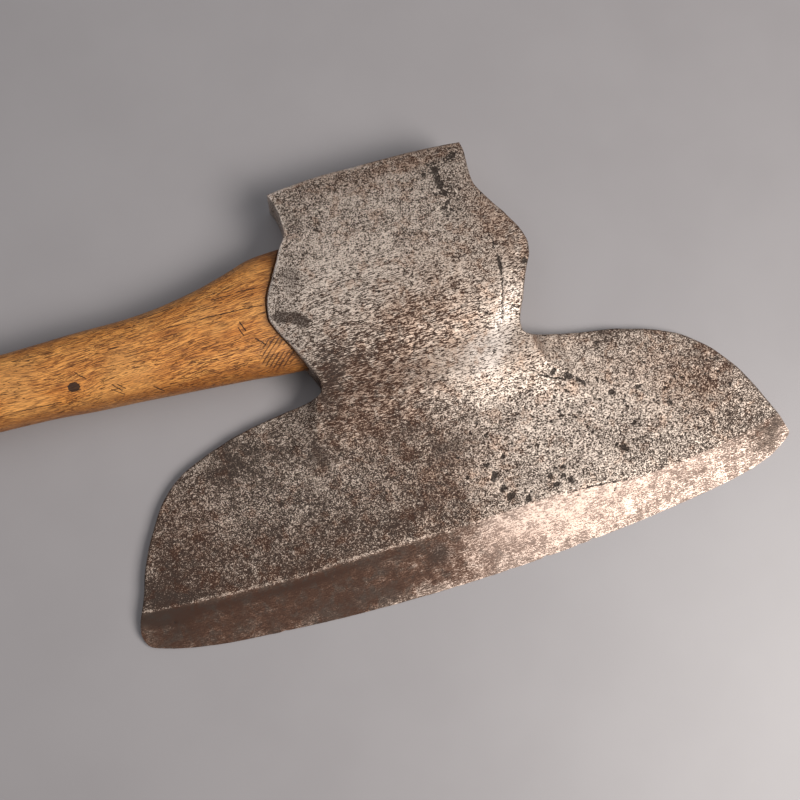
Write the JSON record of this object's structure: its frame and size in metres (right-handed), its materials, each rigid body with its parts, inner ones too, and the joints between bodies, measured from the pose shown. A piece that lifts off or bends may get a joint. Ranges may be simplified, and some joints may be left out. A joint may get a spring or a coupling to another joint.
{
  "type": "broad axe",
  "caption": "Broad axe with a square poll, eared eye, wide blade bevelled on one side only and flat on the other, and a wooden haft held by a wedged tongue.",
  "frame": {"origin": "on the flat back of the head, on its middle line, level with the tips of the ears", "axes": "+X along the haft and the cutting edge, from the haft's end towards the toe; +Y towards the poll, with the cutting edge at -Y; +Z out of the bevelled front, with z = 0 at the flat back"},
  "size_m": [0.7214, 0.1996, 0.0332],
  "materials": {
    "forged_iron": "old forged wrought iron, pitted all over, mottled grey and brown, worn bright on its high spots",
    "edge_steel": "ground and honed tool steel with fine pitting and a brown patina",
    "poll_steel": "hammered steel poll, burred over and tan brown",
    "haft_wood": "oiled golden-brown open-grained hardwood, polished by handling",
    "wedge_wood": "dark dry hardwood end grain",
    "wedge_iron": "rusty hammered iron"
  },
  "bodies": {
    "root": {"iron_body": "forged_iron", "steel_bit": "edge_steel", "poll_plate": "poll_steel", "haft": "haft_wood", "kerf_wedge": "wedge_wood", "iron_wedge": "wedge_iron"}
  },
  "joints": []
}
